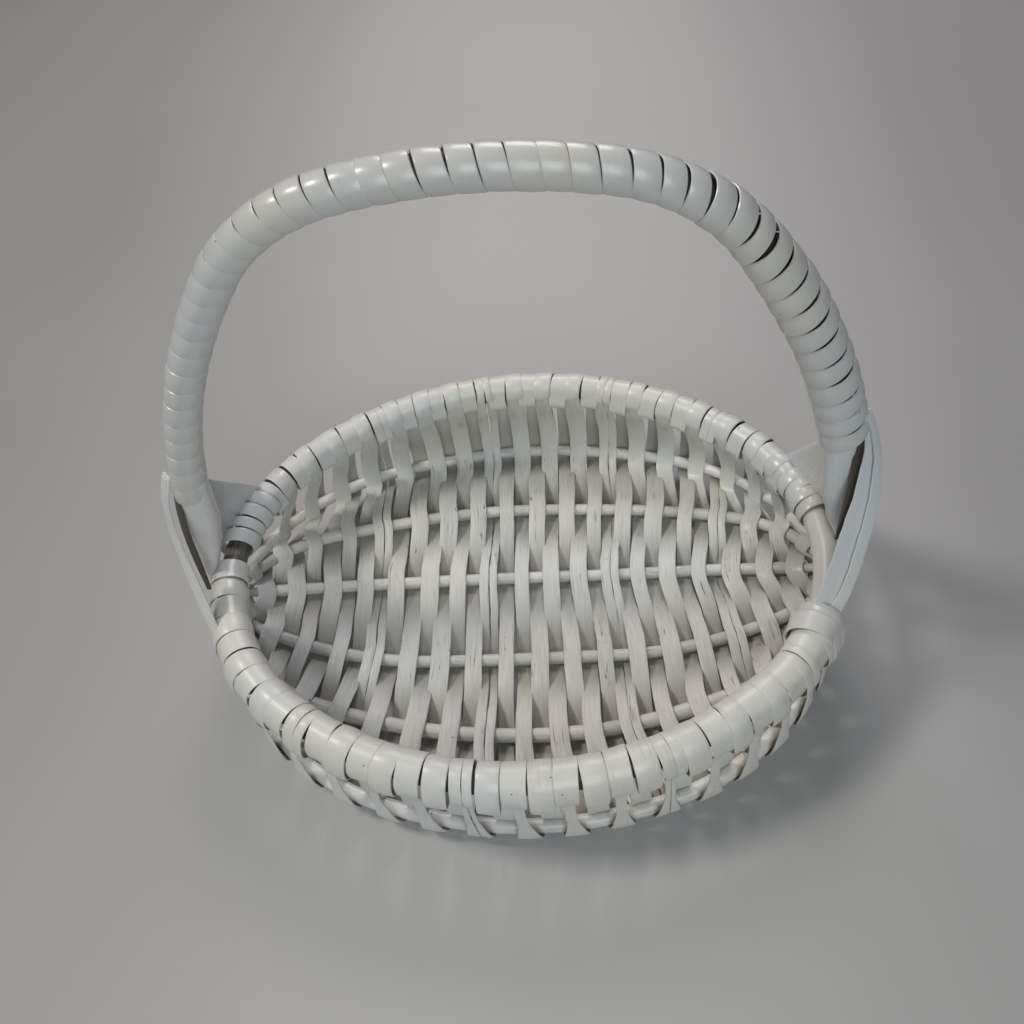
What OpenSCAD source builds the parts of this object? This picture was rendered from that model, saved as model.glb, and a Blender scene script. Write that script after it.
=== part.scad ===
// Easter basket: a shallow oval rib basket with a bound arch handle.
// +X runs from ear to ear, +Y to the back, +Z up. The base lies on z = 0, centred on x = y = 0.
// Six bent rods span the bowl from ear to ear under an oval hoop. Thin wooden splints cross them
// from front to back, over and under in turn, and turn over the hoop at both ends. The handle
// is a bent rod whose flat legs stand outside the hoop. A pair of straps ties each leg to it.

/* [Hoop] */
// half length of the hoop's centreline, ear to ear
hoop_half_x = 150; // [100:1:200]
// half width of the hoop's centreline, front to back
hoop_half_y = 119; // [80:1:150]
// radius of the hoop's rod
hoop_r = 6.2; // [3:0.1:9]
// radius of the hoop's end bends
hoop_end_r = 102; // [60:1:110]

/* [Bowl] */
// depth of the lowest rods below the hoop, centre to centre
bowl_depth = 58; // [30:1:90]
// depth below the hoop at which the rods run together at each ear
ear_depth = 23; // [10:1:40]
// half length of the bowl between the two ears
ear_half_x = 155; // [120:1:190]
// radius of the six rods
rod_r = 3.3; // [2:0.1:5]
// distance of the two keel rods from the middle
keel_y = 26; // [15:1:40]
// distance of the two middle rods from the middle
mid_y = 72; // [50:1:90]
// distance of the two outer rods from the middle
outer_y = 118; // [80:1:130]
// how much higher the middle rods lie than the keel rods
mid_rise = 2.5; // [0:0.5:20]
// how much higher the outer rods lie than the keel rods
outer_rise = 2; // [0:0.5:30]
// straight length in the middle of the keel rods, which the basket stands on
keel_flat = 90; // [0:5:140]

/* [Splints] */
// number of crossing splints, an odd number
weavers = 33; // [11:2:37]
// distance from one splint to the next
weaver_pitch = 8.6; // [6:0.1:20]
// width of a splint
splint_w = 8; // [4:0.1:12]
// thickness of a splint
splint_t = 1.2; // [0.6:0.1:2.5]
// thickness of the doubled splint where it turns over the hoop
hook_t = 1.6; // [0.8:0.1:3]
// gap between wood and splint
gap = 0.15; // [0.05:0.05:0.5]

/* [Handle] */
// height of the handle's centreline above the hoop
arch_h = 227; // [150:1:300]
// radius of the bent rod
handle_r = 6.3; // [4:0.1:10]
// radius of the crown of the arch
crown_r = 230; // [100:5:400]
// angle that half of the crown turns through
crown_deg = 12; // [2:1:30]
// radius of the shoulders
shoulder_r = 83.2; // [40:1:150]
// slope of the arch where a shoulder meets a flank
shoulder_deg = 55; // [35:1:70]
// radius of the flanks
flank_r = 301.4; // [150:1:500]
// slope of the legs
leg_deg = 81.7; // [75:0.1:90]
// thickness of a leg, across the hoop
leg_t = 5; // [3:0.5:8]
// width of a leg, along the hoop
leg_w = 16; // [8:1:24]
// length of a leg, from its top under the binding to its tip below the hoop
leg_l = 74; // [40:1:90]
// thickness of the binding on the left half and the crown
wrap_t = 2; // [1:0.1:4]
// thickness of the looser binding on the right flank
loose_wrap_t = 4; // [1:0.1:6]
// length of leg between the hoop and the binding, left
bare_left = 62; // [30:1:90]
// length of leg between the hoop and the binding, right
bare_right = 74; // [30:1:90]

/* [Straps] */
// width of a strap
strap_w = 12; // [6:1:18]
// thickness of a strap, two plies
strap_t = 2.2; // [1:0.1:4]
// distance along Y from the leg at which the front straps meet the hoop
strap_front_y = 42; // [20:1:70]
// distance along Y from the leg at which the rear straps meet the hoop
strap_rear_y = 52; // [20:1:70]

/* [Output] */
// node to draw, or all

/* [Hidden] */
$fn = 64;
// a hair's breadth left between one bend of a rod and the next, as an angle and as a length
seam_deg = 0.05;
seam = 0.03;
white = [0.93, 0.94, 0.93];
shade = [0.86, 0.88, 0.88];

rod_names = ["rod_front_outer", "rod_front_mid", "rod_front_keel",
             "rod_back_keel", "rod_back_mid", "rod_back_outer"];
ear_names = ["ear_binding_left_front", "ear_binding_left_rear",
             "ear_binding_right_front", "ear_binding_right_rear"];
strap_names = ["strap_left_front", "strap_left_rear", "strap_right_front", "strap_right_rear"];
function weaver_name(i) = str("weaver_", i < 9 ? "0" : "", i + 1);

// height of the hoop's centreline: the splints under the keel rods touch z = 0
hoop_z = bowl_depth + rod_r + gap + splint_t;

// An oval of four arcs: its flat arc's radius, from half length a, half width b and end radius r
function flat_r(a, b, r) = (a * a + b * b - 2 * a * r) / (2 * (b - r));
hoop_flat_r = flat_r(hoop_half_x, hoop_half_y, hoop_end_r);
hoop_join = atan2(hoop_half_x - hoop_end_r, hoop_flat_r - hoop_half_y);

// half width of an oval at distance u from its middle
function oval_at(u, a, b, r) =
    let (big = flat_r(a, b, r), join = big * sin(atan2(a - r, big - b)))
    u <= 0 ? b : u <= join ? sqrt(big * big - u * u) - (big - b)
    : sqrt(max(0, r * r - (u - a + r) * (u - a + r)));

// each rod: its distance from the middle, its rise, its end radius and its straight length
rods = [[-outer_y, outer_rise, 115, 0], [-mid_y, mid_rise, 62, 0], [-keel_y, 0, 24, keel_flat],
        [keel_y, 0, 24, keel_flat], [mid_y, mid_rise, 62, 0], [outer_y, outer_rise, 115, 0]];
// depth left at the rods' ends, so that they don't run into each other at the ears
rod_end = [30, 18, 9, 9, 18, 30];

function rod_drop(k) = ear_depth - bowl_depth + rods[k][1];
function rod_sag(k) = norm([rods[k][0], rod_drop(k)]);
function rod_side(k) = [rods[k][0], rod_drop(k)] / rod_sag(k);
// where rod k crosses the plane at distance x from the middle: [y, z]
function rod_at(k, x) =
    [0, hoop_z - ear_depth]
    + rod_side(k) * oval_at(abs(x) - rods[k][3] / 2, ear_half_x - rods[k][3] / 2,
                            rod_sag(k), rods[k][2]);

// half circle point on the hoop's ring at distance x from the middle
function hoop_y(x) = oval_at(abs(x), hoop_half_x, hoop_half_y, hoop_end_r);
// how much wider the hoop's cut is there, because the hoop runs at a slant
function hoop_skew(x) =
    let (join = hoop_flat_r * sin(hoop_join), u = abs(x))
    u <= join ? 1 / sqrt(1 - pow(u / hoop_flat_r, 2))
    : 1 / max(0.3, hoop_y(x) / hoop_end_r);

// A splint's line in its plane, as [y, z] points. inner is 1 where the first rod is passed on
// the inside of the bowl and -1 where it is passed on the outside.
pad = 2.6;
function anchor(k, x) =
    k < 0 ? [-hoop_y(x), hoop_z] : k > 5 ? [hoop_y(x), hoop_z] : rod_at(k, x);
// the splints lie level on the two keel rods, so that the basket stands flat
function along(k, x) =
    let (d = anchor(k + 1, x) - anchor(k - 1, x)) k == 2 || k == 3 ? [1, 0] : d / norm(d);
function turned(v) = [-v[1], v[0]];
function rod_points(x, inner) = [
    for (k = [0:5])
    let (t = along(k, x), s = inner * (k % 2 == 0 ? 1 : -1), off = rod_r + gap + splint_t / 2)
    for (e = [-1, 1]) anchor(k, x) + e * pad * t + s * off * turned(t)];
// the hook over the hoop at one end: side -1 is the front, and it starts at its free end
hook_steps = 14;
function hook(x, side, inner) =
    let (rz = hoop_r + gap + hook_t / 2, ry = rz * hoop_skew(x),
         c = [side * hoop_y(x), hoop_z],
         from = inner > 0 ? -38 : 215, sweep = inner > 0 ? 245 : -245)
    [for (j = [0:hook_steps])
     let (a = from + sweep * (1 - j / hook_steps))
     c + [-side * ry * cos(a), rz * sin(a)]];
function backwards(v) = [for (i = [len(v) - 1:-1:0]) v[i]];
function splint_line(x, inner) =
    concat(hook(x, -1, inner), rod_points(x, inner), backwards(hook(x, 1, -inner)));

// a closed outline of width t around a line of points, with mitred corners
function step(p, i) = (p[i + 1] - p[i]) / norm(p[i + 1] - p[i]);
function shift(p, i, t) =
    let (a = step(p, max(i - 1, 0)), b = step(p, min(i, len(p) - 2)), m = a + b)
    turned(m) * t / (m * m);
function outline(p, t) =
    concat([for (i = [0:len(p) - 1]) p[i] + shift(p, i, t)],
           [for (i = [len(p) - 1:-1:0]) p[i] - shift(p, i, t)]);

// An arc of rod in the XZ plane: centre, radius of the bend, rod radius, slope from and to,
// and the radius of the bore where it is a sleeve
module bend(c, bend_r, r, from, to, bore = 0) {
    translate([c[0], 0, c[1]])
        rotate([90, 0, 0])
            rotate([0, 0, from])
                rotate_extrude(angle = to - from)
                    translate([bend_r, 0])
                        difference() {
                            circle(r = r);
                            if (bore > 0) circle(r = bore);
                        }
}

module hoop() {
    color(shade)
        translate([0, 0, hoop_z])
            for (turn = [0, 180]) rotate([0, 0, turn]) {
                translate([hoop_half_x - hoop_end_r, 0, 0])
                    rotate([0, 0, hoop_join - 90])
                        rotate_extrude(angle = 180 - 2 * hoop_join)
                            translate([hoop_end_r, 0])
                                circle(r = hoop_r);
                translate([0, hoop_half_y - hoop_flat_r, 0])
                    rotate([0, 0, 90 - hoop_join])
                        rotate_extrude(angle = 2 * hoop_join)
                            translate([hoop_flat_r, 0])
                                circle(r = hoop_r);
            }
}

// One rod of the bowl, drawn as an oval arc that hangs down in the XZ plane and is then tilted
module bowl_rod(k) {
    r = rods[k][2];
    half_flat = rods[k][3] / 2;
    a = ear_half_x - half_flat;
    sag = rod_sag(k);
    big = flat_r(a, sag, r);
    join = atan2(a - r, big - sag);
    stop = asin(rod_end[k] / r);
    color(shade)
        translate([0, 0, hoop_z - ear_depth])
            rotate([atan2(rods[k][0], -rod_drop(k)), 0, 0]) {
                if (half_flat > 0) {
                    translate([-half_flat + seam, 0, -sag])
                        rotate([0, 90, 0])
                            cylinder(h = 2 * (half_flat - seam), r = rod_r);
                    for (m = [0, 1]) mirror([m, 0, 0])
                        bend([half_flat, big - sag], big, rod_r, -90, join - 90);
                } else {
                    bend([0, big - sag], big, rod_r, -90 - join, join - 90);
                }
                for (m = [0, 1]) mirror([m, 0, 0])
                    bend([half_flat + a - r, 0], r, rod_r, join - 90 + seam_deg, -stop);
            }
}

// One splint, cut from a flat outline in its plane and as thick as it is wide across the bowl
module weaver(i) {
    n = i - (weavers - 1) / 2;
    x = n * weaver_pitch;
    inner = i % 2 == 0 ? 1 : -1;
    color(white)
        translate([x - splint_w / 2, 0, 0])
            rotate([90, 0, 90])
                linear_extrude(splint_w)
                    polygon(outline(splint_line(x, inner), splint_t));
}

// Rings of splint round the bare ends of the hoop, from angle a0 to a1 on the hoop's end bend
ring_w = 8.2;
module ear_binding(side, a0, a1, rings) {
    color(white)
        for (j = [0:rings - 1])
            translate([side * (hoop_half_x - hoop_end_r), 0, hoop_z])
                rotate([0, 0, side > 0 ? 0 : 180])
                    rotate([0, 0, a0 + (a1 - a0) * (rings > 1 ? j / (rings - 1) : 0)])
                        translate([hoop_end_r, 0, 0])
                            rotate([90, 0, 0])
                                difference() {
                                    cylinder(h = ring_w, r = hoop_r + gap + hook_t, center = true);
                                    cylinder(h = ring_w + 2, r = hoop_r + gap, center = true);
                                }
}

// The arch: centres and end points of its arcs, from the crown down
arch_z = hoop_z + arch_h;
crown_c = [0, arch_z - crown_r];
shoulder_c = crown_c + (crown_r - shoulder_r) * [sin(crown_deg), cos(crown_deg)];
flank_c = shoulder_c + (shoulder_r - flank_r) * [sin(shoulder_deg), cos(shoulder_deg)];
leg_top = flank_c + flank_r * [sin(leg_deg), cos(leg_deg)];
// room between the end of the rod and the slat under it
leg_gap = 0.5;

module handle_rod() {
    color(shade) {
        bend(crown_c, crown_r, handle_r, 90 - crown_deg, 90 + crown_deg);
        for (m = [0, 1]) mirror([m, 0, 0]) {
            bend(shoulder_c, shoulder_r, handle_r, 90 - shoulder_deg + seam_deg,
                 90 - crown_deg - seam_deg);
            bend(flank_c, flank_r, handle_r, 90 - leg_deg, 90 - shoulder_deg - seam_deg);
        }
    }
}

// The flat slat that carries one end of the arch down past the outside of the hoop
module handle_leg(side) {
    color(shade)
        translate([side * leg_top[0], 0, leg_top[1] - leg_gap])
            rotate([0, 180 - side * (90 - leg_deg), 0])
                translate([-leg_t / 2, -leg_w / 2, 0])
                    cube([leg_t, leg_w, leg_l]);
}

// The binding, a sleeve over the rod that is thicker on the right flank
module sleeve(c, bend_r, from, to, t) {
    bend(c, bend_r, handle_r + t, from + seam_deg, to - seam_deg, handle_r + gap);
}

flank_stop_left = leg_deg - (bare_left - (leg_l - 14)) / flank_r * 57.3;
flank_stop_right = leg_deg - (bare_right - (leg_l - 14)) / flank_r * 57.3;
mid_wrap_t = (wrap_t + loose_wrap_t) / 2;

module handle_binding() {
    color(white) {
        sleeve(crown_c, crown_r, 90 - crown_deg, 90 + crown_deg, wrap_t);
        mirror([1, 0, 0]) {
            sleeve(shoulder_c, shoulder_r, 90 - shoulder_deg, 90 - crown_deg, wrap_t);
            sleeve(flank_c, flank_r, 90 - flank_stop_left, 90 - shoulder_deg, wrap_t);
        }
        sleeve(shoulder_c, shoulder_r, 90 - shoulder_deg, 90 - crown_deg, mid_wrap_t);
        sleeve(flank_c, flank_r, 90 - flank_stop_right, 90 - shoulder_deg, loose_wrap_t);
    }
}

// A strap from a point high on the leg's outer face to a point beside the hoop
strap_top = [ear_half_x + 5, 3.5, hoop_z + 62];
module strap(side, y, x_end) {
    far = y > 0 ? 1 : -1;
    from = [side * strap_top[0], far * strap_top[1], strap_top[2]];
    to = [side * x_end, y, hoop_z - 4];
    d = to - from;
    color(white)
        translate(from)
            rotate([0, acos(d[2] / norm(d)), atan2(d[1], d[0])])
                translate([-strap_w / 2, -strap_t / 2, 0])
                    cube([strap_w, strap_t, norm(d)]);
}
strap_reach = hoop_r + hook_t + strap_t;
front_x = hoop_half_x - hoop_end_r + sqrt(pow(hoop_end_r + strap_reach, 2) - pow(strap_front_y, 2));
rear_x = hoop_half_x - hoop_end_r + sqrt(pow(hoop_end_r + strap_reach, 2) - pow(strap_rear_y, 2));

hoop();
handle_rod();
handle_leg(-1);  // handle_leg_left
handle_leg(1);  // handle_leg_right
handle_binding();
for (k = [0:5])
    bowl_rod(k);
ear_binding(-1, 3, 21, 4);  // ear_binding_left_front
ear_binding(-1, -21, -14, 2);  // ear_binding_left_rear
ear_binding(1, -21, -21, 1);  // ear_binding_right_front
ear_binding(1, 9, 21, 3);  // ear_binding_right_rear
strap(-1, -strap_front_y, front_x);  // strap_left_front
strap(-1, strap_rear_y, rear_x);  // strap_left_rear
strap(1, -strap_front_y, front_x);  // strap_right_front
strap(1, strap_rear_y, rear_x);  // strap_right_rear
for (i = [0:weavers - 1])
    weaver(i);
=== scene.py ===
"""Looks of the easter basket: a white painted rib basket with a bound arch handle.

Every shape is worked out in millimetres with numpy, as rings of points carried along a path,
and goes into its mesh at MM. The basket stands on z = 0, +X is the right ear, +Y the back rim.
"""

import math

import bpy
import numpy as np
from mathutils import Matrix


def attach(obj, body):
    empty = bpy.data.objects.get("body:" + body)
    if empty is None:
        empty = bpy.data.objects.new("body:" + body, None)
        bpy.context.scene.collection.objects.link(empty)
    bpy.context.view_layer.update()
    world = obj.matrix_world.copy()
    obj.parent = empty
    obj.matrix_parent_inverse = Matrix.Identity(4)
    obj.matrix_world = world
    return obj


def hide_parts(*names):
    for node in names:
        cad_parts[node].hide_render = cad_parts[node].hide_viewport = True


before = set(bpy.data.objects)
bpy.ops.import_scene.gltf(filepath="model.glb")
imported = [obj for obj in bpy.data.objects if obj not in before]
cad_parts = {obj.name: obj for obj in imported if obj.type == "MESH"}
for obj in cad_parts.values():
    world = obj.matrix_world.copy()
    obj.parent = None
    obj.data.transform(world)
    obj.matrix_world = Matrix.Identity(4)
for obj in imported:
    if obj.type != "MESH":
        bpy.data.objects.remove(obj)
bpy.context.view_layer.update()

MM = 0.001
# the hoop: its height, half length, half width and the radius of its ends, and its rod's radius
HOOP_Z = 62.65
HOOP = (150.0, 119.0, 102.0)
HOOP_R = 6.2
# the rods hang from the ears, at this height and half length, and the keel lies this far down
EAR_Z = HOOP_Z - 23.0
EAR_X = 155.0
BOWL_DEPTH = 58.0
ROD_R = 3.3
KEEL_REST = 3.85   # from a keel rod's axis to the middle of the splint on the floor under it
# each rod from front to back: its distance from the middle, rise, end radius, straight length
RODS = ((-118, 2, 115, 0), (-72, 2.5, 62, 0), (-26, 0, 24, 90),
        (26, 0, 24, 90), (72, 2.5, 62, 0), (118, 2, 115, 0))
ROD_RADII = (3.8, 3.8, ROD_R, ROD_R, ROD_R, ROD_R)
ROD_NAMES = ("front_outer", "front_mid", "front_keel", "back_keel", "back_mid", "back_outer")
UP = np.array([0.0, 0.0, 1.0])


# ---------------------------------------------------------------- lines and rings


def unit(v):
    """Each vector divided by its length."""
    return v / np.linalg.norm(v, axis=-1, keepdims=True)


def oval(s, a, b, r, flat=0.0):
    """Half an oval by arc length s from its middle: a straight run, a flat arc and an end arc of
    radius r that meet without a kink. Gives distance along, distance out and slope angle."""
    big = (a * a + b * b - 2 * a * r) / (2 * (b - r))
    join = math.atan2(a - r, big - b)
    s = np.asarray(s, float)
    d = np.maximum(np.abs(s) - flat / 2, 0)
    t = np.where(d < join * big, d / big, join + (d - join * big) / r)
    u = np.where(t <= join, big * np.sin(t), a - r + r * np.sin(t))
    u = u + np.minimum(np.abs(s), flat / 2)
    v = np.where(t <= join, big * np.cos(t) - (big - b), r * np.cos(t))
    return np.sign(s) * u, v, np.sign(s) * t


def oval_length(a, b, r, flat=0.0):
    """Arc length of that half oval from its middle to its end."""
    big = (a * a + b * b - 2 * a * r) / (2 * (b - r))
    join = math.atan2(a - r, big - b)
    return flat / 2 + join * big + (math.pi / 2 - join) * r


def hoop_at(s, side):
    """Point, heading and inward direction on the hoop, s mm right of its front or back middle."""
    u, v, t = oval(s, *HOOP)
    zero = np.zeros_like(u)
    return (np.stack([u, side * v, zero + HOOP_Z], -1),
            np.stack([np.cos(t), -side * np.sin(t), zero], -1),
            np.stack([-np.sin(t), -side * np.cos(t), zero], -1))


def rod_at(k, s):
    """Point and heading on rod k at arc length s from its middle: an oval hung from the ears."""
    y, rise, r, flat = RODS[k]
    drop = HOOP_Z - EAR_Z - BOWL_DEPTH + rise
    sag = math.hypot(y, drop)
    u, v, t = oval(s, EAR_X - flat / 2, sag, r, flat)
    lean = np.array([0.0, y / sag, drop / sag])
    point = np.stack([u, v * 0, v * 0 + EAR_Z], -1) + v[..., None] * lean
    heading = np.stack([np.cos(t), t * 0, t * 0], -1) - np.sin(t)[..., None] * lean
    return point, heading


# the arch: its rise over the hoop, the radii of its arcs and the slopes where they meet
ARCH_RISE = 227
CROWN_R, SHOULDER_R, FLANK_R = 230.0, 83.2, 301.4
CROWN_A, SHOULDER_A, LEG_A = math.radians(12), math.radians(55), math.radians(81.7)
S_CROWN = CROWN_R * CROWN_A
S_SHOULDER = S_CROWN + SHOULDER_R * (SHOULDER_A - CROWN_A)
S_FLANK = S_SHOULDER + FLANK_R * (LEG_A - SHOULDER_A)


def handle_at(s):
    """Point, heading and outward direction on the arch at arc length s right of its top: crown,
    shoulder and flank arcs, then a straight leg."""
    s = np.asarray(s, float)
    d = np.abs(s)
    t = np.select([d < S_CROWN, d < S_SHOULDER, d < S_FLANK],
                  [d / CROWN_R, CROWN_A + (d - S_CROWN) / SHOULDER_R,
                   SHOULDER_A + (d - S_SHOULDER) / FLANK_R], LEG_A)
    crown = np.array([0, HOOP_Z + ARCH_RISE - CROWN_R])
    shoulder = crown + (CROWN_R - SHOULDER_R) * np.array([math.sin(CROWN_A), math.cos(CROWN_A)])
    flank = shoulder + (SHOULDER_R - FLANK_R) * np.array(
        [math.sin(SHOULDER_A), math.cos(SHOULDER_A)])
    radial = np.stack([np.sin(t), np.cos(t)], -1)
    along = np.stack([np.cos(t), -np.sin(t)], -1)
    p = np.select([(d < S_CROWN)[:, None], (d < S_SHOULDER)[:, None]],
                  [crown + CROWN_R * radial, shoulder + SHOULDER_R * radial],
                  flank + FLANK_R * radial) + along * np.maximum(d - S_FLANK, 0)[:, None]
    g = np.where(s < 0, -1.0, 1.0)
    zero = np.zeros_like(s)
    return (np.stack([g * p[:, 0], zero, p[:, 1]], -1),
            np.stack([along[:, 0], zero, g * along[:, 1]], -1),
            np.stack([g * radial[:, 0], zero, radial[:, 1]], -1))


def smooth_path(keys, step):
    """A curve through rows of numbers whose first three are a place: cubic in chord length,
    with each row's slope the mean of its neighbours', the nearer one weighing more."""
    keys = np.asarray(keys, float)
    h = np.linalg.norm(np.diff(keys[:, :3], axis=0), axis=1)
    at = np.concatenate([[0], np.cumsum(h)])
    rise = np.diff(keys, axis=0) / h[:, None]
    slope = np.empty_like(keys)
    slope[1:-1] = (rise[:-1] * h[1:, None] + rise[1:] * h[:-1, None]) / (h[1:] + h[:-1])[:, None]
    slope[0], slope[-1] = rise[0], rise[-1]
    s = np.linspace(0, at[-1], int(at[-1] / step) + 2)
    i = np.clip(np.searchsorted(at, s, "right") - 1, 0, len(h) - 1)
    f, hh = ((s - at[i]) / h[i])[:, None], h[i][:, None]
    return s, (keys[i] * (1 + 2 * f) * (1 - f) ** 2 + slope[i] * hh * f * (1 - f) ** 2
               + keys[i + 1] * f * f * (3 - 2 * f) + slope[i + 1] * hh * f * f * (f - 1))


def wander(rng, s, step):
    """A smooth random line from -1 to 1 along s, with a new value every step."""
    i = (s - np.min(s)) / step
    value = rng.uniform(-1, 1, int(np.max(i)) + 3)
    k = i.astype(int)
    f = (1 - np.cos(np.pi * (i - k))) / 2
    return value[k] * (1 - f) + value[k + 1] * f


RING = np.linspace(0, 2 * np.pi, 12, endpoint=False)
ACROSS = np.sign(np.cos(RING)) * np.abs(np.cos(RING)) ** 0.35
DEEP = np.sign(np.sin(RING)) * np.abs(np.sin(RING)) ** 0.6


def ribbon(s, centre, side, width, thick, crown, rng, ragged=0.12, bare=0.0, under_shade=0.0):
    """A splint along a line: a rounded flat outline, bulged by crown, with each edge wandering
    by ragged. side points across it; the last argument, a shade mark, is painted shade laid on the
    bare mark of its inner face only."""
    up = unit(np.cross(side, unit(np.gradient(centre, axis=0))))
    one = np.ones_like(s)
    edges = np.stack([wander(rng, s, 7.0), wander(rng, s, 5.0)], 0) * ragged
    a = ACROSS * (width * one)[:, None] / 2
    a = a + np.where(ACROSS > 0, edges[0][:, None], edges[1][:, None])
    b = DEEP * (thick * one)[:, None] / 2 + (crown * one)[:, None] * (1 - ACROSS ** 2)
    rings = centre[:, None] + a[..., None] * side[:, None] + b[..., None] * up[:, None]
    marks = (bare * one)[:, None] + (under_shade * one)[:, None] * (DEEP > -0.1)
    return dict(rings=rings, along=s, across=np.concatenate([a, a[:, :1]], 1), bare=marks,
                seed=rng.uniform())


def tube(s, centre, radius, rng, sides=14, bare=0.0, closed=False):
    """A rod along a line: circles of that radius at right angles to it."""
    heading = unit(np.gradient(centre, axis=0))
    if closed:
        heading = unit(np.roll(centre, -1, 0) - np.roll(centre, 1, 0))
    level = np.abs(heading[:, 2]).max() < 0.99
    first = unit(np.cross(heading, UP if level else np.array([0, 1.0, 0])))
    second = np.cross(heading, first)
    t = np.linspace(0, 2 * np.pi, sides, endpoint=False)
    one = np.ones_like(s)
    r = (radius * one)[:, None, None]
    rings = centre[:, None] + r * (np.cos(t)[:, None] * first[:, None]
                                   + np.sin(t)[:, None] * second[:, None])
    across = np.outer(one, np.append(t, 2 * np.pi)) * np.mean(radius)
    return dict(rings=rings, along=s, across=across, closed=closed, seed=rng.uniform(),
                bare=np.broadcast_to((bare * one)[:, None], rings.shape[:2]))


def skin(name, parts, material, nodes, sharp=32.0):
    """One piece from rings of points: quads between neighbouring rings and a face over each end,
    turned so that they enclose a positive volume. The strip UV map holds mm along and across."""
    points, faces, uvs, bare, seed, base = [], [], [], [], [], 0
    for part in parts:
        rings = part["rings"]
        m, n = rings.shape[:2]
        last = m if part.get("closed") else m - 1
        i, j = (x.ravel() for x in np.meshgrid(np.arange(last), np.arange(n), indexing="ij"))
        i2, j2 = (i + 1) % m, (j + 1) % n
        quads = np.stack([i * n + j, i2 * n + j, i2 * n + j2, i * n + j2], 1)
        along = np.append(part["along"], part["along"][-1] + 1.0)
        across = np.concatenate([part["across"], part["across"][:1]], 0)
        uv = np.stack([np.stack([along[i + a], across[i + a, j + b]], 1)
                       for a, b in ((0, 0), (1, 0), (1, 1), (0, 1))], 1)
        p = rings.reshape(-1, 3)
        q = p - p.mean(0)
        c = q[quads]
        volume = (np.einsum("ij,ij->i", c[:, 0], np.cross(c[:, 1], c[:, 2]))
                  + np.einsum("ij,ij->i", c[:, 0], np.cross(c[:, 2], c[:, 3]))).sum()
        ends = [list(range(n)), [(m - 1) * n + x for x in range(n)][::-1]]
        ends = [] if part.get("closed") else ends
        flip = volume < 0
        if flip:
            quads, uv = quads[:, ::-1], uv[:, ::-1]
        faces += (quads + base).tolist()
        uvs.append(uv.reshape(-1, 2))
        for end, ring in zip(ends, (0, m - 1)):
            end = end[::-1] if flip else end
            faces.append([base + x for x in end])
            uvs.append(np.stack([np.full(n, along[ring]) + q[end, 2] * 0.1,
                                 across[ring, np.array(end) % n]], 1))
        points.append(p)
        bare.append(np.asarray(part["bare"], float).ravel())
        seed.append(np.full(m * n, part["seed"]))
        base += m * n
    mesh = bpy.data.meshes.new(name)
    mesh.from_pydata((np.concatenate(points) * MM).tolist(), [], faces)
    layer = mesh.uv_layers.new(name="strip")
    layer.data.foreach_set("uv", np.concatenate(uvs).astype(np.float32).ravel())
    for word, value in (("bare", bare), ("seed", seed)):
        mesh.attributes.new(word, "FLOAT", "POINT").data.foreach_set(
            "value", np.concatenate(value).astype(np.float32))
    mesh.shade_smooth()
    mesh.set_sharp_from_angle(angle=math.radians(sharp))
    mesh.materials.append(material)
    mesh.validate()
    piece = bpy.data.objects.new(name, mesh)
    bpy.context.scene.collection.objects.link(piece)
    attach(piece, "root")
    if nodes:
        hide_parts(*nodes)
    return piece


# ---------------------------------------------------------------- paint and wood


def put(tree, kind, sockets=None, **settings):
    """A new node with these settings; each socket gets a value or a link."""
    node = tree.nodes.new(kind)
    for word, value in settings.items():
        setattr(node, word, value)
    for word, value in (sockets or {}).items():
        if isinstance(value, bpy.types.NodeSocket):
            tree.links.new(value, node.inputs[word])
        else:
            node.inputs[word].default_value = value
    return node


def calc(tree, operation, a, b=0.0, c=None):
    """One step of arithmetic."""
    sockets = {0: a, 1: b}
    if c is not None:
        sockets[2] = c
    return put(tree, "ShaderNodeMath", sockets, operation=operation).outputs[0]


def blend(tree, share, a, b):
    """Colour a mixed with colour b."""
    return put(tree, "ShaderNodeMix", {0: share, 6: a, 7: b}, data_type="RGBA",
               clamp_factor=True).outputs[2]


def between(tree, value, low, high, to_low=0.0, to_high=1.0):
    """A value between two limits, spread smoothly from to_low to to_high."""
    return put(tree, "ShaderNodeMapRange", {0: value, 1: low, 2: high, 3: to_low, 4: to_high},
               interpolation_type="SMOOTHSTEP").outputs[0]


def noise(tree, vector, scale, detail=2.0, rough=0.5):
    """Soft noise, 0 to 1."""
    return put(tree, "ShaderNodeTexNoise", {"Vector": vector, "Scale": scale, "Detail": detail,
                                            "Roughness": rough}).outputs["Fac"]


def outputs_of(tree, words):
    """Adds outputs to a group, each a name and its kind."""
    for word, kind in words:
        kind = {"colour": "NodeSocketColor", "number": "NodeSocketFloat"}[kind]
        tree.interface.new_socket(word, in_out="OUTPUT", socket_type=kind)


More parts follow.
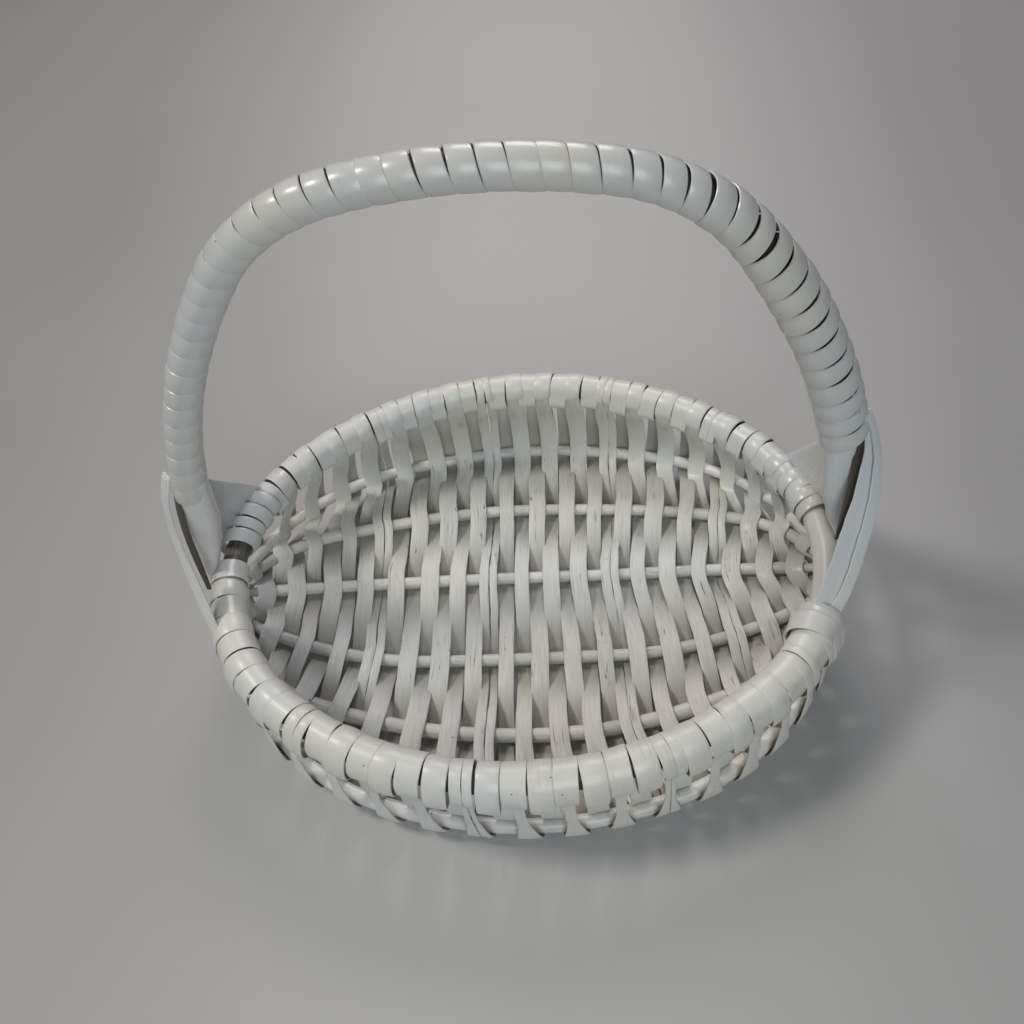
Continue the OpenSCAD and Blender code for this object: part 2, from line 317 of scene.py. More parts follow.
def wood_grain_group():
    """Grain along a splint: fine lines stretched along it, a few dark splits, small specks and
    soft patches, from the strip UV map in mm and the piece's own seed."""
    g = bpy.data.node_groups.new("splint grain", "ShaderNodeTree")
    outputs_of(g, [("Lines", "colour"), ("Splits", "number"), ("Specks", "number"),
                   ("Patches", "number"), ("Cloud", "number"), ("Fine", "number")])
    out = g.nodes.new("NodeGroupOutput")
    uv = put(g, "ShaderNodeSeparateXYZ", {0: put(g, "ShaderNodeUVMap", uv_map="strip").outputs[0]})
    seed = put(g, "ShaderNodeAttribute", attribute_name="seed").outputs["Fac"]
    place = put(g, "ShaderNodeTexCoord").outputs["Object"]

    def stretched(along, across, shift):
        v = put(g, "ShaderNodeCombineXYZ", {
            0: calc(g, "MULTIPLY", uv.outputs[0], along),
            1: calc(g, "MULTIPLY", uv.outputs[1], across),
            2: calc(g, "MULTIPLY", seed, shift)})
        return v.outputs[0]

    fine = noise(g, stretched(0.07, 2.4, 61.0), 1.0, 4.0, 0.62)
    broad = noise(g, stretched(0.018, 0.55, 37.0), 1.0, 2.0)
    split = noise(g, stretched(0.021, 0.62, 83.0), 1.0, 1.0)
    from_half = calc(g, "ABSOLUTE", calc(g, "SUBTRACT", split, 0.5))
    line = between(g, from_half, 0.0, 0.013, 1.0, 0.0)
    where = between(g, noise(g, stretched(0.045, 0.05, 19.0), 1.0, 1.0), 0.56, 0.66)
    cells = put(g, "ShaderNodeTexVoronoi", {"Vector": place, "Scale": 230.0})
    pick = put(g, "ShaderNodeSeparateColor", {0: cells.outputs["Color"]}).outputs[0]
    rare = between(g, pick, 0.93, 0.96)
    dot = between(g, cells.outputs["Distance"], 0.05, 0.15, 1.0, 0.0)
    tone = put(g, "ShaderNodeCombineColor", {0: fine, 1: broad, 2: split})
    links = {"Lines": tone.outputs[0], "Splits": calc(g, "MULTIPLY", line, where),
             "Specks": calc(g, "MULTIPLY", dot, rare), "Patches": noise(g, place, 42.0, 3.0),
             "Cloud": noise(g, place, 11.0, 2.0), "Fine": fine}
    for word, value in links.items():
        g.links.new(value, out.inputs[word])
    return g


GRAIN = wood_grain_group()


def painted(name, paint, wood, rough, coat, grain, splits, specks, low_brown, bump):
    """White paint over wood: the grain tints and lifts it a little, splits and specks show dark,
    patches turn it cooler or warmer, faces behind rods get painted shade, brown lines lie low at
    the front of the bowl, and bare wood shows where the piece's bare mark is high."""
    mat = bpy.data.materials.new(name)
    mat.use_nodes = True
    t = mat.node_tree
    t.nodes.clear()
    g = put(t, "ShaderNodeGroup", node_tree=GRAIN).outputs
    # the bare mark: high where the wood is bare; on the splints its low values carry painted shade
    # behind the rods
    bare = put(t, "ShaderNodeAttribute", attribute_name="bare").outputs["Fac"]
    place = put(t, "ShaderNodeSeparateXYZ", {0: put(t, "ShaderNodeTexCoord").outputs["Object"]})
    lines = put(t, "ShaderNodeSeparateColor", {0: g["Lines"]}).outputs
    # the paint lies thick and glossy over the hoop, the handle and the outside of the bowl, and
    # hides the grain there
    reach = calc(t, "ADD", calc(t, "POWER", calc(t, "DIVIDE", place.outputs[0], 0.150), 2.0),
                 calc(t, "POWER", calc(t, "DIVIDE", place.outputs[1], 0.119), 2.0))
    thick = calc(t, "MAXIMUM", between(t, place.outputs[2], 0.048, 0.056),
                 between(t, reach, 0.935, 0.975))
    fibre = calc(t, "MULTIPLY", calc(t, "MULTIPLY_ADD", thick, -0.78, 1.0), grain)
    cool = (paint[0] * 0.95, paint[1] * 0.975, paint[2] * 0.985, 1)
    warm = (paint[0] * 1.01, paint[1] * 0.99, paint[2] * 0.95, 1)
    colour = blend(t, between(t, g["Cloud"], 0.38, 0.62), cool, warm)
    colour = blend(t, calc(t, "MULTIPLY", between(t, lines[0], 0.42, 0.72), fibre), colour,
                   (paint[0] * 0.66, paint[1] * 0.64, paint[2] * 0.60, 1))
    patches = calc(t, "MULTIPLY", between(t, g["Patches"], 0.60, 0.74), 0.30 * grain)
    colour = blend(t, patches, colour, (0.62, 0.53, 0.45, 1))
    # painted shade: faces of a splint that lie behind a rod get a darker paint for the shade there;
    # the rods' own bare mark wanders at random and darkens them here too
    shade = between(t, bare, 0.03, 0.21, 0.0, 0.80)
    colour = blend(t, shade, colour, (paint[0] * 0.44, paint[1] * 0.425, paint[2] * 0.385, 1))
    # darker brown along the grain, low in the bowl at the front under the hoop
    low = calc(t, "MULTIPLY", between(t, place.outputs[1], -0.070, -0.108),
               between(t, place.outputs[2], 0.052, 0.030))
    low = calc(t, "MULTIPLY", low, calc(t, "SUBTRACT", 1.0, thick))
    brown_lines = calc(t, "MULTIPLY", low, between(t, lines[1], 0.40, 0.62))
    colour = blend(t, calc(t, "MULTIPLY", brown_lines, low_brown), colour, (0.30, 0.255, 0.215, 1))
    cracks = calc(t, "MULTIPLY", g["Splits"], calc(t, "MULTIPLY_ADD", thick, -0.85, 1.0))
    colour = blend(t, calc(t, "MULTIPLY", cracks, splits), colour, (0.035, 0.030, 0.026, 1))
    colour = blend(t, calc(t, "MULTIPLY", g["Specks"], specks), colour, (0.06, 0.05, 0.045, 1))
    worn = calc(t, "ADD", bare, calc(t, "MULTIPLY", calc(t, "SUBTRACT", lines[0], 0.5), 0.4))
    colour = blend(t, between(t, worn, 0.34, 0.62), colour, wood)
    shine = calc(t, "ADD", rough - 0.07, calc(t, "MULTIPLY", lines[0], 0.14))
    shine = calc(t, "ADD", shine, calc(t, "MULTIPLY", bare, 0.25))
    shine = calc(t, "SUBTRACT", shine, calc(t, "MULTIPLY", thick, 0.10))
    relief = calc(t, "ADD", g["Fine"], calc(t, "MULTIPLY", lines[1], 0.8))
    height = calc(t, "SUBTRACT", calc(t, "MULTIPLY", relief, fibre),
                  calc(t, "MULTIPLY", cracks, 1.2))
    normal = put(t, "ShaderNodeBump",
                 {"Strength": bump, "Distance": 0.0007, "Height": height}).outputs[0]
    shader = put(t, "ShaderNodeBsdfPrincipled", {
        "Base Color": colour, "Roughness": shine, "Normal": normal, "Coat Weight": coat,
        "Coat Roughness": 0.16, "Specular IOR Level": 0.5})
    end = t.nodes.new("ShaderNodeOutputMaterial")
    t.links.new(shader.outputs[0], end.inputs[0])
    return mat


DARK_WOOD = (0.040, 0.033, 0.028, 1)
splint_paint = painted("splint_paint", (0.70, 0.705, 0.69), DARK_WOOD, rough=0.48, coat=0.10,
                       grain=0.60, splits=0.9, specks=0.8, low_brown=0.8, bump=0.55)
binding_paint = painted("binding_paint", (0.63, 0.635, 0.63), DARK_WOOD, rough=0.40, coat=0.22,
                        grain=0.30, splits=0.30, specks=0.6, low_brown=0.0, bump=0.30)
rod_paint = painted("rod_paint", (0.74, 0.735, 0.72), (0.045, 0.036, 0.030, 1), rough=0.45,
                    coat=0.15, grain=0.55, splits=0.5, specks=1.0, low_brown=0.5, bump=0.5)
slat_paint = painted("slat_paint", (0.70, 0.715, 0.73), (0.085, 0.070, 0.058, 1), rough=0.38,
                     coat=0.2, grain=0.45, splits=0.4, specks=0.7, low_brown=0.0, bump=0.35)


# ---------------------------------------------------------------- hoop and rods

half_hoop = oval_length(*HOOP)
rng = np.random.default_rng(11)
s = np.linspace(0, 4 * half_hoop, 420, endpoint=False)
turned = np.where(s <= 2 * half_hoop, s - half_hoop, 3 * half_hoop - s)
front, back = hoop_at(turned, -1)[0], hoop_at(turned, 1)[0]
line = np.where((s <= 2 * half_hoop)[:, None], front, back)
# the hoop is bare wood under the splints; it is painted where it lies open at the right ear,
# and partly painted at the left one
open_right = (line[:, 0] > 100) & (line[:, 1] > -48) & (line[:, 1] < 26)
open_left = (line[:, 0] < -140) & (line[:, 1] > -12) & (line[:, 1] < 30)
bare = np.where(open_right, 0.0, np.where(open_left, 0.55, 1.0))
skin("hoop_rod", [tube(s, line, HOOP_R + 0.25 * wander(rng, s, 23), rng, 20, bare, closed=True)],
     rod_paint, ["hoop"])

ROD_STOP = (15, 9, 5, 5, 9, 15)
for k, (y, rise, r, flat) in enumerate(RODS):
    rng = np.random.default_rng(20 + k)
    sag = math.hypot(y, HOOP_Z - EAR_Z - BOWL_DEPTH + rise)
    half = oval_length(EAR_X - flat / 2, sag, r, flat) - r * math.asin(ROD_STOP[k] / r)
    s = np.linspace(-half, half, 190)
    line = rod_at(k, s)[0] + np.stack([wander(rng, s, 60) * 0, wander(rng, s, 55) * 0.45,
                                       wander(rng, s, 70) * 0.3], -1)
    thin = np.clip((half - np.abs(s)) / 22, 0, 1)
    radius = (ROD_RADII[k] + 0.14 * wander(rng, s, 17)) * (0.55 + 0.45 * thin)
    bare = 0.07 + 0.07 * wander(rng, s, 9)
    skin(f"bowl_rod_{ROD_NAMES[k]}", [tube(s, line, radius, rng, 16, bare)],
         rod_paint, [f"rod_{ROD_NAMES[k]}"])


# ---------------------------------------------------------------- splints

# where the splints cross each line, in mm from its middle, for the leftmost, a left, the middle,
# a right and the rightmost splint: hoop front, the six rods, hoop back
ROW_KEYS = (-18, -16, -8, 0, 8, 16, 18)
CROSSINGS = ((-197, -174, -83, 8, 98, 180, 199), (-192, -166, -79, 11, 96, 174, 196),
             (-175, -153, -69, 5.5, 77.5, 153, 174), (-160, -142, -66, 5, 75, 144, 159),
             (-159, -141, -66, 4, 69, 139, 156), (-173, -149, -65.5, 5, 73.5, 148, 168),
             (-182, -154, -66.5, 5, 76, 158, 180), (-163, -142, -67.5, 4.5, 76.5, 152, 166))
SPLIT_ROWS = {-3: 0.9, 5: 0.5, -10: 0.6, 12: 0.5}   # splints split in two, with the gap in mm
SHADE_UNDER_RODS = 0.22   # painted shade: the mark on a splint's inner face where it passes under a rod


def hook(s, side, angles, radii, widths, slant, twist):
    """Keys of the turn over the hoop: points round it at angles from its inner side, over the
    top, with the strip lying along the hoop and running slightly askew."""
    p, heading, inward = (x[0] for x in hoop_at(np.array([s]), side))
    a, r = np.radians(angles), np.asarray(radii, float)
    c = (p + inward * (r * np.cos(a))[:, None] + UP * (r * np.sin(a))[:, None]
         + heading * (slant * np.cos(a))[:, None])
    out = inward * np.cos(a)[:, None] + UP * np.sin(a)[:, None]
    across = unit(heading * math.cos(twist) + out * math.sin(twist))
    return np.concatenate([c, across, np.asarray(widths, float)[:, None],
                           np.full((len(a), 1), 0.35), np.zeros((len(a), 1))], 1)


def splint_keys(n, rng):
    """Rows of place, across direction, width, crown and painted shade under rods for splint n, from
    its front tail over the hoop, over and under the six rods, and over the hoop at the back."""
    inner = 1 if n % 2 == 0 else -1
    at = [np.interp(n, ROW_KEYS, c) for c in CROSSINGS]
    shift = rng.uniform(-0.8, 0.8)
    # right of splint 13 the front ends bunch up beside the open stretch of the hoop
    bunch = max(n - 13, 0)
    at[0] = at[0] if bunch == 0 else 155 + 2.0 * bunch
    at = [x + rng.uniform(-0.4, 0.4) + (0 if i in (0, 7) else shift) for i, x in enumerate(at)]
    points = [hoop_at(np.array([at[0]]), -1)[0][0]]
    heads = [None]
    for k in range(6):
        p, h = rod_at(k, np.array([at[k + 1]]))
        points.append(p[0])
        heads.append(h[0])
    points.append(hoop_at(np.array([at[7]]), 1)[0][0])
    own = rng.uniform(9.1, 10.5) if rng.uniform() > 0.15 else 8.2
    widths = [11.2, 13.0 if inner < 0 else 10.6, own + 0.2, own, own, own + 0.2, 10.2]
    keys = []
    slim = rng.uniform(-0.15, 0.3) if rng.uniform() > 0.22 else 0.8
    wf = 11.35 - slim - 0.7 * bunch
    lift = rng.uniform(0, 0.55) + 0.42 * bunch
    if inner > 0:
        droop = rng.uniform(6.6, 9.0)
        keys.append(hook(at[0], -1, [318, 280, 252, 224, 190, 140, 92, 45, 0, -34],
                         np.array([7.6, 6.4 + droop, 8.2 + droop, 8.6 + droop * 0.78,
                                   9.6 + droop * 0.12,
                                   8.7, 8.3, 8.0, 8.0, 9.0]) + lift,
                         [6.5, 6.8, 8.8, 10.6, wf, wf, wf, wf, wf, 10.8], rng.uniform(-0.9, 1.5),
                         rng.uniform(-0.03, 0.07)))
    else:
        keys.append(hook(at[0], -1, [-60, -34, 0, 45, 92, 140, 186, 214, 236],
                         np.array([8.6, 8.6, 8.2, 8.3, 8.5, 8.8, 9.8, 11.6, 13.2]) + lift,
                         [8, 9, wf, wf, wf, wf, wf - 0.2, 10.2, 7.6], rng.uniform(-0.9, 1.5),
                         rng.uniform(-0.03, 0.07)))
    pads = []
    for k in range(6):
        heading = unit(points[k + 2] - points[k])
        t = heads[k + 1]
        flat = unit(heading - t * (heading @ t))
        up = np.cross(t, flat)
        s = inner * (1 if k % 2 == 0 else -1)
        off = s * (ROD_RADII[k] + 0.62 + rng.uniform(0, 0.35))
        under = s < 0
        if under and k in (2, 3):
            off = -KEEL_REST
        lean = rng.uniform(-0.05, 0.05) * (0 if off == -KEEL_REST else 1)
        side = unit(t + up * lean)
        pads.append([np.concatenate([points[k + 1] + flat * e + up * off, side, [widths[k + 1]],
                                     [0.25 * s if off != -KEEL_REST else 0.0, float(under)]])
                     for e in (-2.4, 2.4)])
    if inner < 0:
        # the waist of a splint that comes up outside the front rod, close under the hoop
        waist = 0.52 * keys[0][-1] + 0.48 * pads[0][0]
        waist[6] = rng.uniform(4.6, 6.0)
        waist[1] -= 1.2
        keys.append(waist[None])
    for k in range(6):
        keys.append(np.array(pads[k]))
        if k < 5:
            middle = (pads[k][1] + pads[k + 1][0]) / 2
            middle[:3] += rng.uniform(-1, 1, 3) * (0.6, 0.3, 0.55)
            angle = rng.uniform(-0.16, 0.16) * (1 if k else 0.6)
            middle[3:6] = unit(middle[3:6] + np.array([0, 0, 1.0]) * angle)
            keys.append(middle[None])
    wb = 9.5 - (rng.uniform(0.0, 0.3) if rng.uniform() > 0.3 else 0.9)
    if inner > 0:
        drop = rng.uniform(2.0, 3.6)
        keys.append(hook(at[7], 1, [206, 182, 140, 92, 45, 0, -34, -62, -96],
                         np.array([8.2, 7.6, 7.4, 7.4, 7.4, 7.7, 8.0 + drop, 8.0 + drop, 7.6]),
                         [9.6, wb, wb, wb, wb, wb, wb - 0.2, wb - 0.8, 7], rng.uniform(-1.4, 0.4),
                         rng.uniform(-0.04, 0.06)))
    else:
        keys.append(hook(at[7], 1, [-34, 0, 45, 92, 140, 182, 222, 262, 305],
                         [8.4, 7.8, 7.5, 7.5, 7.5, 7.6, 9.4, 9.6, 7.6],
                         [9.6, wb, wb, wb, wb, wb, wb, 8.6, 7], rng.uniform(-1.4, 0.4),
                         rng.uniform(-0.04, 0.06)))
    return np.concatenate(keys)


def splint(n):
    """The strips of splint n: one, or two narrow ones where it has split along its length."""
    rng = np.random.default_rng(300 + n)
    s, k = smooth_path(splint_keys(n, rng), 1.7)
    centre, side, width, crown = k[:, :3], unit(k[:, 3:6]), k[:, 6], k[:, 7]
    # painted shade on the inner faces where the splint passes under a rod
    under_shade = SHADE_UNDER_RODS * k[:, 8]
    if n not in SPLIT_ROWS:
        return [ribbon(s, centre, side, width, 1.05, crown, rng, under_shade=under_shade)]
    inside = np.clip(np.minimum(s - 38, s[-1] - 36 - s) / 8, 0, 1)
    gap = SPLIT_ROWS[n] * (0.55 + 0.45 * wander(rng, s, 26)) * inside
    parts = []
    for g, share in ((-1, 0.55), (1, 0.45)):
        shift = side * (g * (width * (1 - share) / 2 + gap * 0.5))[:, None]
        lift = UP * (0.35 * g * wander(rng, s, 31))[:, None]
        parts.append(ribbon(s, centre + shift + lift, side, width * share, 1.0, crown * 0.4, rng,
                            0.2, under_shade=under_shade))
    return parts


for n in range(-16, 17):
    skin(f"splint_{n + 17:02d}", splint(n), splint_paint,
         [f"weaver_{n + 17:02d}"])


def ear_turns(name, rows, places, side, width, radius, gap, seed, node, loose=0.0):
    """The last short splints at an ear, and extra turns round the hoop beside them, each a strip
    once round it, a little askew; loose turns stand off the hoop on top and tip up."""
    parts = [part for n in rows for part in splint(n)]
    for i, at in enumerate(places):
        rng = np.random.default_rng(seed + i)
        angles = np.arange(-98, 275, 28.5)
        r = radius + rng.uniform(-0.2, 0.35)
        r = r + 0.5 * np.cos(np.radians(angles - rng.uniform(20, 160)))
        r = r + loose * (0.6 + 0.5 * i) * (0.5 + 0.5 * np.cos(np.radians(angles - 70)))
        keys = hook(at, side, angles, r, np.full(len(angles), width - rng.uniform(0, gap)),
                    (rng.uniform(0.2, 1.3) + loose) * side, rng.uniform(0.02, 0.14) + 0.12 * loose)
        s, k = smooth_path(keys, 1.6)
        parts.append(ribbon(s, k[:, :3], unit(k[:, 3:6]), k[:, 6], 1.0, 0.3, rng))
    skin(name, parts, binding_paint, [node])


ear_turns("ear_turns_left_front", (-18, -17), (-210, -205), -1, 6.6, 8.8, 0.3, 500,
          "ear_binding_left_front")
ear_turns("ear_turns_left_rear", (), (-170.5, -179, -187.5, -196), 1, 8.2, 8.2, 2.2, 520,
          "ear_binding_left_rear", 1.0)
ear_turns("ear_turns_right_front", (17, 18), (158,), -1, 10.0, 11.4, 0.3, 540,
          "ear_binding_right_front")
ear_turns("ear_turns_right_rear", (), (172, 178.5, 185, 191.5), 1, 7.2, 8.2, 0.5, 560,
          "ear_binding_right_rear")


# ---------------------------------------------------------------- handle

rng = np.random.default_rng(41)
s = np.linspace(-246, 233, 300)
p, heading, outward = handle_at(s)
skin("handle_core", [tube(s, p, 6.5, rng, 16, 1.0)], rod_paint, ["handle_rod"])

# the binding: one splint wound from the right leg to the left. Each turn has its own pitch
# and width; on the right flank the turns are fatter and lie open on the outside
rng = np.random.default_rng(43)
START, END = 230.0, -243.0
RIGHT_FLANK, LEFT_FLANK = 95, -75   # where the crown of the handle ends, in mm from its top
pitches = []
place = START
while place > END:
    flank = np.clip((abs(place) - 110) / 60, 0, 1)
    step_len = (9.7 + 1.5 * flank) * rng.uniform(0.92, 1.08)
    pitches.append(step_len)
    place -= step_len
pitches = np.array(pitches) * (START - END) / np.sum(pitches)
turns = len(pitches)
starts = START - np.concatenate([[0], np.cumsum(pitches)])
u = np.linspace(0, turns, turns * 40 + 1)
k = np.minimum(u.astype(int), turns - 1)
s = np.interp(u, np.arange(turns + 1), starts)
# seams: a few wide ones over the crown, tight ones on the left, open ones outside on the right
on_flank = starts > RIGHT_FLANK
crown_gaps = rng.choice([1.5, 0.9, 0.3, -0.4], turns + 1, p=[0.25, 0.3, 0.25, 0.2])
left_gaps = rng.choice([0.8, 0.0, -0.5], turns + 1, p=[0.12, 0.3, 0.58])
gaps = np.where(starts > LEFT_FLANK, crown_gaps, left_gaps)
gaps = np.where(on_flank, rng.uniform(1.6, 4.4, turns + 1), gaps)
flank_sides = rng.uniform(-0.95, -0.45, turns + 1)
sides_open = np.where(on_flank, flank_sides, rng.uniform(-0.5, 0.4, turns + 1))
reach = np.where(on_flank, 2.6, np.where(gaps > 1.2, 0.7, 2.0))
tilts = rng.uniform(-0.05, 0.03, turns + 1)
loose = np.clip((s - 70) / 70, 0, 1) * np.clip((238 - s) / 16, 0.5, 1)
share = (1 - np.cos(np.pi * (u - k))) / 2
phi = 2 * np.pi * u + 0.6


def per_turn(values):
    """A value for each turn, eased from one turn to the next."""
    return values[k] * (1 - share) + values[k + 1] * share


opened = (0.5 + 0.5 * np.cos(phi - per_turn(sides_open))) ** per_turn(reach)
gap = per_turn(gaps)
gap = np.where(gap > 0, gap * opened, gap)
tilt = per_turn(tilts) + 0.10 * loose
p, heading, outward = handle_at(s)
toward = np.stack([s * 0, s * 0 + 1, s * 0], -1)
spoke = outward * np.cos(phi)[:, None] + toward * np.sin(phi)[:, None]
radius = 7.55 + 0.14 * wander(rng, u, 0.7) + loose * (1.9 + 1.2 * (0.5 + 0.5 * np.cos(phi))) \
    + 0.2 * np.clip(-gap, 0, 1)
centre = p + spoke * radius[:, None]
side = unit(heading * np.cos(tilt)[:, None] + spoke * np.sin(tilt)[:, None])
width = np.interp(u, np.arange(turns), pitches) - gap * 0.75 + 0.25
skin("handle_wrap", [ribbon(u * 50.0, centre, side, width, 1.15, 0.18 + 0.30 * loose, rng, 0.1)],
     binding_paint, ["handle_binding"])


def bar(s, centre, side, up, wide, deep, rng, sides=20):
    """A round-edged bar along a line: an oval outline, wide across side and deep along up."""
    t = np.linspace(0, 2 * np.pi, sides, endpoint=False)
    a = np.sign(np.cos(t)) * np.abs(np.cos(t)) ** 0.8
    b = np.sign(np.sin(t)) * np.abs(np.sin(t)) ** 0.8
    rings = (centre[:, None] + (wide / 2)[:, None, None] * a[:, None] * side[:, None]
             + (deep / 2)[:, None, None] * b[:, None] * up[:, None])
    return dict(rings=rings, along=s, across=np.outer(s * 0 + 1, np.append(t, 2 * np.pi)) * 6.5,
                bare=np.zeros(rings.shape[:2]), seed=rng.uniform())


for g, word, top in ((1, "right", 222.0), (-1, "left", 232.0)):
    rng = np.random.default_rng(61 + g)
    s = np.linspace(top, 322, 70)
    p, heading, outward = handle_at(g * s)
    wide = np.interp(s, [top, 262, 300, 322], [14, 15.5, 13, 5]) + 0.5 * wander(rng, s, 12)
    deep = np.interp(s, [top, 266, 286, 300, 312, 322], [14.6, 15.2, 12.6, 8.0, 4.6, 2.4])
    deep = deep + 0.2 * wander(rng, s, 9)
    face = np.interp(s, [top, 290, 322], [6.4, 5.4, 2.6])
    centre = p + outward * (face - deep / 2)[:, None]
    side = np.broadcast_to(np.array([0, 1.0, 0]), p.shape)
    skin(f"handle_slat_{word}", [bar(s, centre, side, outward, wide, deep, rng)],
         slat_paint, [f"handle_leg_{word}"])


# ---------------------------------------------------------------- straps at the ears

# each strap: its main ply's line in mm from the hoop's middle, where the second ply lies from it
# at the middle of the strap, the way it faces, and the widths of both along it
STRAPS = {
    "right": (((153, -2, 98), (157, -6, 80), (156, -14, 59), (150.5, -26, 37), (145, -37, 17),
               (140, -44, 4), (137, -48, -6)),
              (5.5, -0.9, -1.5), (0.35, -0.50, 0.80), (5, 8.5, 11, 10), (3, 5.4, 6, 6)),
    "left": (((-157, 0, 78), (-161, -4, 66), (-162.5, -9, 50), (-160.5, -16, 36), (-156.5, -26, 21),
              (-152, -36, 8), (-147.5, -44, -4)),
             (1.6, -0.6, 0.6), (-0.62, -0.45, 0.62), (7, 8, 8.5, 7), (5, 6, 6, 6)),
}
for word, (line, apart, facing, wide, wide_2) in STRAPS.items():
    g = 1 if word == "right" else -1
    parts = []
    for ply in (0, 1, 2):
        rng = np.random.default_rng(71 + ply + 5 * g)
        keys = np.array(line, float) + (0, 0, HOOP_Z)
        f = np.linspace(0, 1, len(keys))
        open_up = np.sin(np.pi * np.clip(f - 0.05, 0, 1))[:, None]
        if ply == 1:
            keys = keys + open_up * np.array(apart) + np.array([1.0 * g, -0.4, -0.6])
        elif ply == 2:
            # an inner ply that the paint never reached, between the strap and the leg; its very
            # dark brown is also painted shade for the gap there
            keys = keys[:4] + (-3.4, 3.0, -1.5) if g > 0 else keys[:5] + (4.4, 3.0, -3)
        s, k = smooth_path(keys, 2.0)
        side = unit(np.cross(np.array(facing), np.gradient(k, axis=0)))
        width = np.interp(s / s[-1], [0, 0.3, 0.75, 1], (wide, wide_2, (5, 8, 6, 3))[ply])
        parts.append(ribbon(s, k, side, width, 1.3, 0.25, rng, 0.25, 1.0 if ply == 2 else 0.0))
    skin(f"ear_strap_{word}", parts, slat_paint, [f"strap_{word}_front"])

# behind each leg a wide sheet of splint spreads down to the hoop
SHEETS = {
    "right": (((152.5, 2, 88), (157, 5, 60), (159, 9, 30), (157, 14, 9)),
              ((151, 7, 90), (149.5, 20, 62), (145, 36, 34), (139, 52, 8))),
    "left": (((-153, 2, 74), (-157, 4, 50), (-159, 8, 26), (-157, 12, 6)),
             ((-151, 7, 78), (-150, 18, 54), (-146, 34, 30), (-141, 50, 7))),
}
for word, (near, far) in SHEETS.items():
    rng = np.random.default_rng(81 + len(word))
    s, a = smooth_path(np.array(near, float) + (0, 0, HOOP_Z), 2.5)
    b = smooth_path(np.array(far, float) + (0, 0, HOOP_Z), 2.5)[1]
    f, f_b = np.linspace(0, 1, len(a)), np.linspace(0, 1, len(b))
    b = np.stack([np.interp(f, f_b, b[:, i]) for i in range(3)], -1)
    side = b - a
    skin(f"ear_sheet_{word}", [ribbon(s, (a + b) / 2, unit(side), np.linalg.norm(side, axis=1), 1.3,
                                       0.8, rng, 0.4)],
         slat_paint, [f"strap_{word}_rear"])


# ---------------------------------------------------------------- floor, light and camera

FLOOR_HALF = 9   # half the side of the floor, in metres


def floor_cloth():
    """The pale surface the basket stands on, painted lighter down its middle and darker to the
    sides: a painted pool of light.
    """
    mesh = bpy.data.meshes.new("floor")
    f = FLOOR_HALF
    mesh.from_pydata([(-f, -f, 0), (f, -f, 0), (f, f, 0), (-f, f, 0)], [], [(0, 1, 2, 3)])
    mat = bpy.data.materials.new("floor_paper")
    mat.use_nodes = True
    t = mat.node_tree
    shader = t.nodes["Principled BSDF"]
    place = put(t, "ShaderNodeTexCoord").outputs["Object"]
    # painted light: the floor is painted lighter in a band down the middle and darker towards the
    # left and right
    away = calc(t, "ABSOLUTE", put(t, "ShaderNodeSeparateXYZ", {0: place}).outputs[0])
    tone = blend(t, between(t, away, 0.02, 0.36), (0.475, 0.473, 0.474, 1),
                 (0.318, 0.315, 0.318, 1))
    clouds = between(t, noise(t, place, 3.5, 2.0), 0.3, 0.7, 0.0, 0.25)
    tone = blend(t, clouds, tone, (0.40, 0.398, 0.40, 1))
    t.links.new(tone, shader.inputs["Base Color"])
    shader.inputs["Roughness"].default_value = 0.55
    mesh.materials.append(mat)
    floor = bpy.data.objects.new("floor", mesh)
    bpy.context.scene.collection.objects.link(floor)


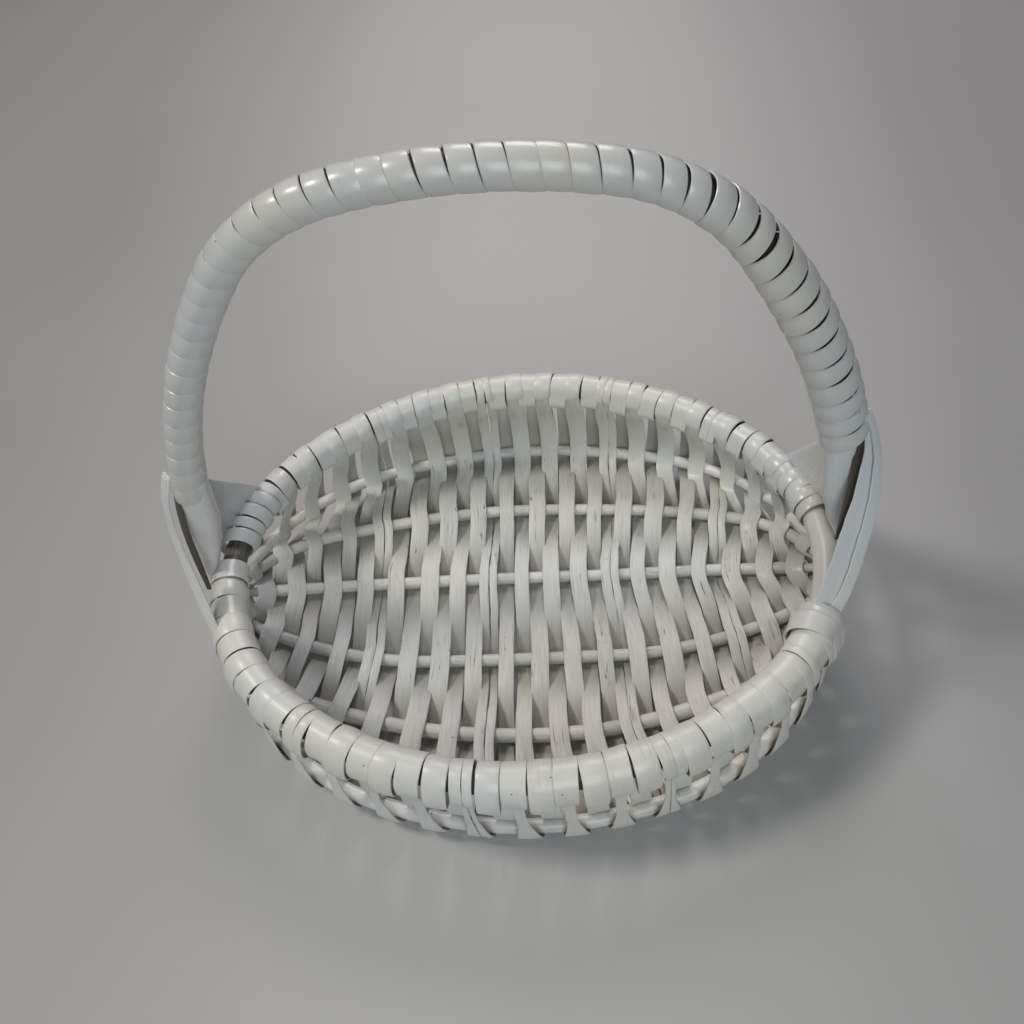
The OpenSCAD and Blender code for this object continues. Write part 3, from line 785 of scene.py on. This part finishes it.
def lamp(name, place, aim, size, watts, colour):
    """A square soft light that looks at a point."""
    light = bpy.data.lights.new(name, "AREA")
    light.shape, light.size, light.energy, light.color = "SQUARE", size, watts, colour
    thing = bpy.data.objects.new(name, light)
    bpy.context.scene.collection.objects.link(thing)
    back = unit(np.array(place, float) - np.array(aim, float))
    right = unit(np.cross((0, 1, 0.01), back))
    turn = np.eye(4)
    turn[:3, 0], turn[:3, 1], turn[:3, 2], turn[:3, 3] = right, np.cross(back, right), back, place
    thing.matrix_world = Matrix(turn.tolist())


floor_cloth()
lamp("key_light", (-1.75, 0.10, 2.45), (0, 0, 0.05), 0.60, 37.0, (0.965, 0.92, 0.86))
lamp("back_light", (0.05, 0.75, 0.85), (0.05, 0.3, 0.0), 0.45, 3.9, (1.0, 0.94, 0.96))
lamp("front_light", (0.25, -1.6, 1.5), (0, 0, 0.1), 1.1, 13.0, (0.88, 0.97, 1.0))
lamp("low_light", (0.10, -0.95, 0.62), (0, 0, 0.05), 0.5, 1.4, (1.0, 0.97, 0.94))
world = bpy.data.worlds.new("studio")
world.use_nodes = True
world.node_tree.nodes["Background"].inputs[0].default_value = (0.93, 0.96, 1.0, 1)
world.node_tree.nodes["Background"].inputs[1].default_value = 0.06
bpy.context.scene.world = world
bpy.context.scene.view_settings.view_transform = "Standard"

# the camera: how far it turns right, tips down and rolls, in radians, its place in metres and
# its focal length in mm
YAW, DOWN, ROLL = -0.11696, 0.9151, -0.14275
CAMERA_AT = (0.0331345, -0.2967875, 0.4890746)
FOCAL = 36.07
ahead = np.array([math.sin(YAW) * math.cos(DOWN), math.cos(YAW) * math.cos(DOWN), -math.sin(DOWN)])
right = np.array([math.cos(YAW), -math.sin(YAW), 0])
above = np.cross(right, ahead)
turn = np.eye(4)
turn[:3, 0] = math.cos(ROLL) * right + math.sin(ROLL) * above
turn[:3, 1] = -math.sin(ROLL) * right + math.cos(ROLL) * above
turn[:3, 2] = -ahead
turn[:3, 3] = CAMERA_AT
lens = bpy.data.cameras.new("camera")
lens.lens, lens.sensor_width, lens.sensor_fit = FOCAL, 36.0, "HORIZONTAL"
lens.clip_start = 0.01
camera = bpy.data.objects.new("camera", lens)
bpy.context.scene.collection.objects.link(camera)
camera.matrix_world = Matrix(turn.tolist())
bpy.context.scene.camera = camera
